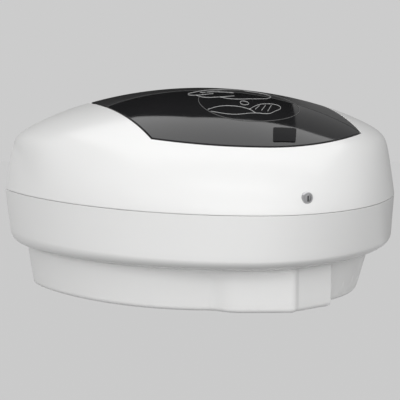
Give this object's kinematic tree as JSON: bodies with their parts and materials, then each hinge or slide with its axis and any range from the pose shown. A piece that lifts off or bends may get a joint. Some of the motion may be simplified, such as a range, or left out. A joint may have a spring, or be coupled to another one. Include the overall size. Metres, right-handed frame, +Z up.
{
  "type": "automatic soap dispenser",
  "caption": "Wall-mounted sensor soap dispenser: domed hinged lid with a smoked leaf-shaped window, lower housing and base pod with pump and spout.",
  "frame": {"origin": "centre of the footprint at the level of the pod's underside", "axes": "+Z up, +X to the right of someone facing the dispenser, +Y towards the wall, so the front is at -Y"},
  "size_m": [0.274, 0.13, 0.1405],
  "materials": {
    "white_gloss_plastic": "high gloss",
    "smoked_plastic": "polished, see-through smoke",
    "black_plastic": "satin black",
    "grey_plastic": "fine matte",
    "translucent_plastic": "natural translucent",
    "silicone_rubber": "silicone",
    "steel": "plated",
    "circuit_board_green": "lacquered board",
    "battery_wrap": "printed wrap"
  },
  "bodies": {
    "housing": {"hinge_pin": "steel", "lock_keeper": "steel", "lower_housing": "white_gloss_plastic", "base_pod": "white_gloss_plastic", "wall_bracket": "grey_plastic", "reservoir": "translucent_plastic", "pump_housing": "grey_plastic", "pump_cover": "grey_plastic", "gearbox": "steel", "pump_motor": "steel", "pump_tube": "silicone_rubber", "nozzle": "grey_plastic", "sensor_window": "smoked_plastic", "sensor_board": "circuit_board_green", "infrared_emitter": "smoked_plastic", "infrared_receiver": "smoked_plastic", "circuit_board": "circuit_board_green", "battery_box": "black_plastic", "battery_spring_rear": "steel", "battery_spring_front": "steel", "battery_link": "steel", "power_switch": "black_plastic", "battery_1": "battery_wrap", "pod_screw_1": "steel", "battery_2": "battery_wrap", "pod_screw_2": "steel", "battery_3": "battery_wrap", "pod_screw_3": "steel", "battery_4": "battery_wrap", "pod_screw_4": "steel", "pump_screw_1": "steel", "pump_screw_2": "steel"},
    "lid": {"lid_shell": "white_gloss_plastic", "smoked_window": "smoked_plastic", "rear_trim": "black_plastic", "indicator_window": "black_plastic"},
    "lock": {"lock_barrel": "grey_plastic", "lock_cam": "steel"},
    "cap": {"filler_cap": "white_gloss_plastic", "filler_seal": "silicone_rubber"},
    "door": {"battery_door": "white_gloss_plastic"},
    "slider": {"switch_slider": "black_plastic"},
    "rotor": {"pump_rotor": "white_gloss_plastic", "roller_pin_1": "steel", "roller_pin_2": "steel", "roller_pin_3": "steel"},
    "first_roller": {"roller_1": "steel"},
    "second_roller": {"roller_2": "steel"},
    "third_roller": {"roller_3": "steel"}
  },
  "joints": [
    {"name": "lid_hinge", "type": "hinge", "parent": "housing", "child": "lid", "pos_m": [0, 0.0568, 0.1342], "axis": [-1, 0, 0], "range_deg": [0, 70]},
    {"name": "lock_turn", "type": "hinge", "parent": "lid", "child": "lock", "pos_m": [0.066, -0.05657, 0.0788], "axis": [-0.4563, 0.8898, 0], "range_deg": [0, 90]},
    {"name": "cap_turn", "type": "hinge", "parent": "housing", "child": "cap", "pos_m": [0.0335, 0.0185, 0.1146], "axis": [0, 0, 1], "range_deg": [0, 90]},
    {"name": "door_hinge", "type": "hinge", "parent": "housing", "child": "door", "pos_m": [-0.021, 0.052, 0.0014], "axis": [1, 0, 0], "range_deg": [0, 90]},
    {"name": "switch_slide", "type": "slide", "parent": "housing", "child": "slider", "axis": [1, 0, 0], "range_m": [0, 0.0035]},
    {"name": "pump_turn", "type": "hinge", "parent": "housing", "child": "rotor", "pos_m": [0.038, -0.001, 0.046], "axis": [0, 1, 0], "continuous": true},
    {"name": "first_roller_spin", "type": "hinge", "parent": "rotor", "child": "first_roller", "pos_m": [0.038, -0.001, 0.0543], "axis": [0, 1, 0], "continuous": true},
    {"name": "second_roller_spin", "type": "hinge", "parent": "rotor", "child": "second_roller", "pos_m": [0.03081, -0.001, 0.04185], "axis": [0, 1, 0], "continuous": true},
    {"name": "third_roller_spin", "type": "hinge", "parent": "rotor", "child": "third_roller", "pos_m": [0.04519, -0.001, 0.04185], "axis": [0, 1, 0], "continuous": true}
  ],
  "couplings": [
    {"joint": "first_roller_spin", "follows": "pump_turn", "ratio": -3.44},
    {"joint": "second_roller_spin", "follows": "pump_turn", "ratio": -3.44},
    {"joint": "third_roller_spin", "follows": "pump_turn", "ratio": -3.44}
  ]
}
